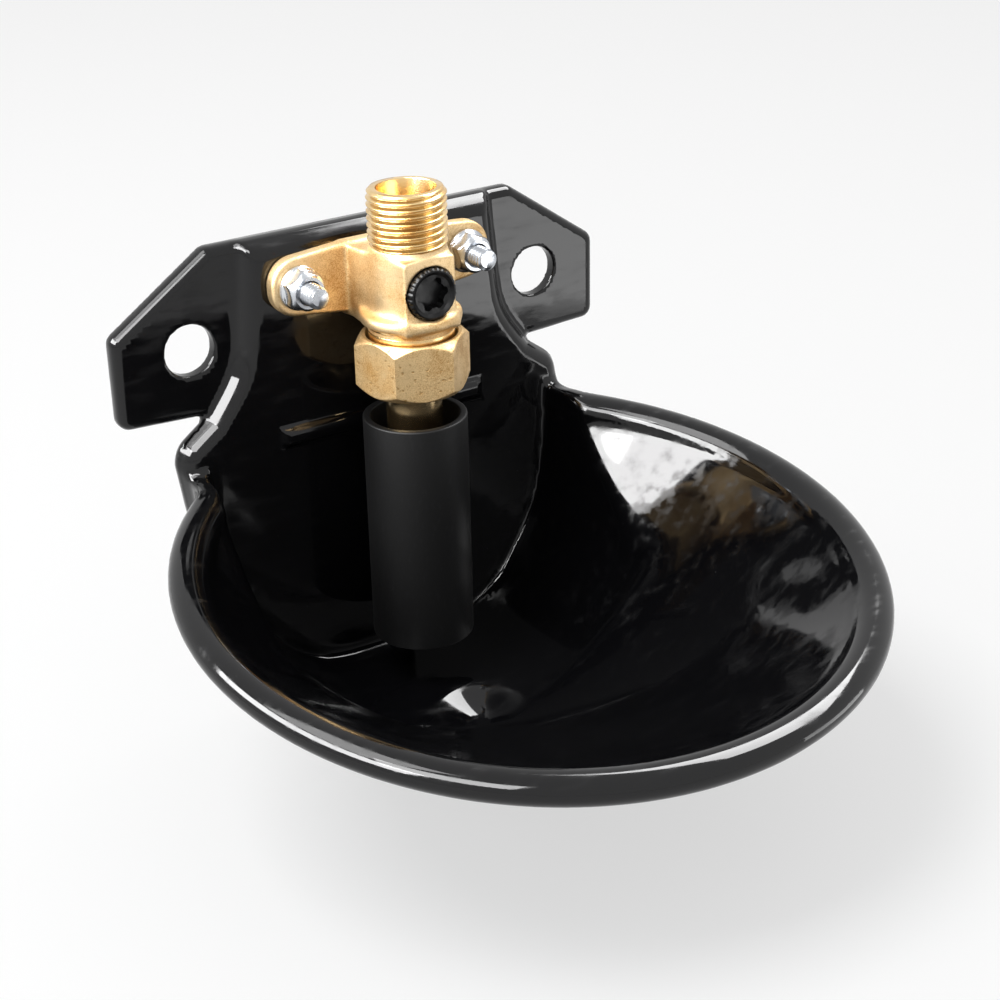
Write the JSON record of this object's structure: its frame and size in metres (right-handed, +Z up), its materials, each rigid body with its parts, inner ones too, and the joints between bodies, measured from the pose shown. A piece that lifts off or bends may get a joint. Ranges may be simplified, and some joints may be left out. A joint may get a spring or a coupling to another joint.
{
  "type": "livestock drinking bowl",
  "caption": "Wall-hung enamelled drinking bowl with a clamped brass pipe valve: nudging the hose-covered pipe sideways lifts the poppet and lets water in.",
  "frame": {"origin": "midway between the wall holes, on the back face of the wings", "axes": "+X to the right seen from the front, +Y towards the wall, +Z up"},
  "size_m": [0.181, 0.1732, 0.1484],
  "materials": {
    "black_enamel": "glossy vitreous enamel on cast iron",
    "cast_brass": "sand cast with machined thread and neck",
    "turned_brass": "machined",
    "zinc_steel": "bright zinc plating",
    "steel_mesh": "stainless",
    "moulded_plastic": "moulded black plastic",
    "seal_rubber": "smooth",
    "hose_rubber": "matte, scuffed"
  },
  "bodies": {
    "root": {"bowl": "black_enamel", "valve_body": "cast_brass", "clamp_bolts": "zinc_steel", "clamp_washers": "zinc_steel", "clamp_nuts": "zinc_steel", "inlet_strainer": "steel_mesh", "return_spring": "steel_mesh", "seat_nozzle": "moulded_plastic", "seat_o_ring": "seal_rubber", "stem_guide": "turned_brass", "union_nut": "turned_brass", "pipe_cushion_ring": "seal_rubber"},
    "poppet": {"valve_poppet": "turned_brass", "poppet_seal": "seal_rubber"},
    "regulator_carrier": {"regulator_o_ring": "seal_rubber"},
    "regulator": {"regulator_plug": "moulded_plastic"},
    "rocker": {"pipe_seat_ring": "turned_brass"},
    "pipe": {"drinking_pipe": "turned_brass", "hose_carrier": "moulded_plastic", "water_hose": "hose_rubber"}
  },
  "joints": [
    {"name": "pipe_tilt_fore_aft", "type": "hinge", "parent": "root", "child": "rocker", "pos_m": [0, -0.0257, -0.008], "axis": [1, 0, 0], "range_deg": [-8, 2], "stiffness_Nm_per_rad": 0.6, "deforming": ["pipe_cushion_ring"]},
    {"name": "pipe_tilt_sideways", "type": "hinge", "parent": "rocker", "child": "pipe", "pos_m": [0, -0.0257, -0.008], "axis": [0, 1, 0], "range_deg": [-8, 8], "stiffness_Nm_per_rad": 0.6},
    {"name": "poppet_lift", "type": "slide", "parent": "root", "child": "poppet", "axis": [0, 0, 1], "range_m": [0, 0.0012], "stiffness_N_per_m": 800, "deforming": ["return_spring"]},
    {"name": "regulator_travel", "type": "slide", "parent": "root", "child": "regulator_carrier", "axis": [0, 1, 0], "range_m": [0, 0.001]},
    {"name": "regulator_turn", "type": "hinge", "parent": "regulator_carrier", "child": "regulator", "pos_m": [0, -0.0257, 0.0136], "axis": [0, 1, 0], "range_deg": [0, 360]}
  ],
  "couplings": [
    {"joint": "regulator_turn", "follows": "regulator_travel", "rad_per_m": 6283.2}
  ]
}
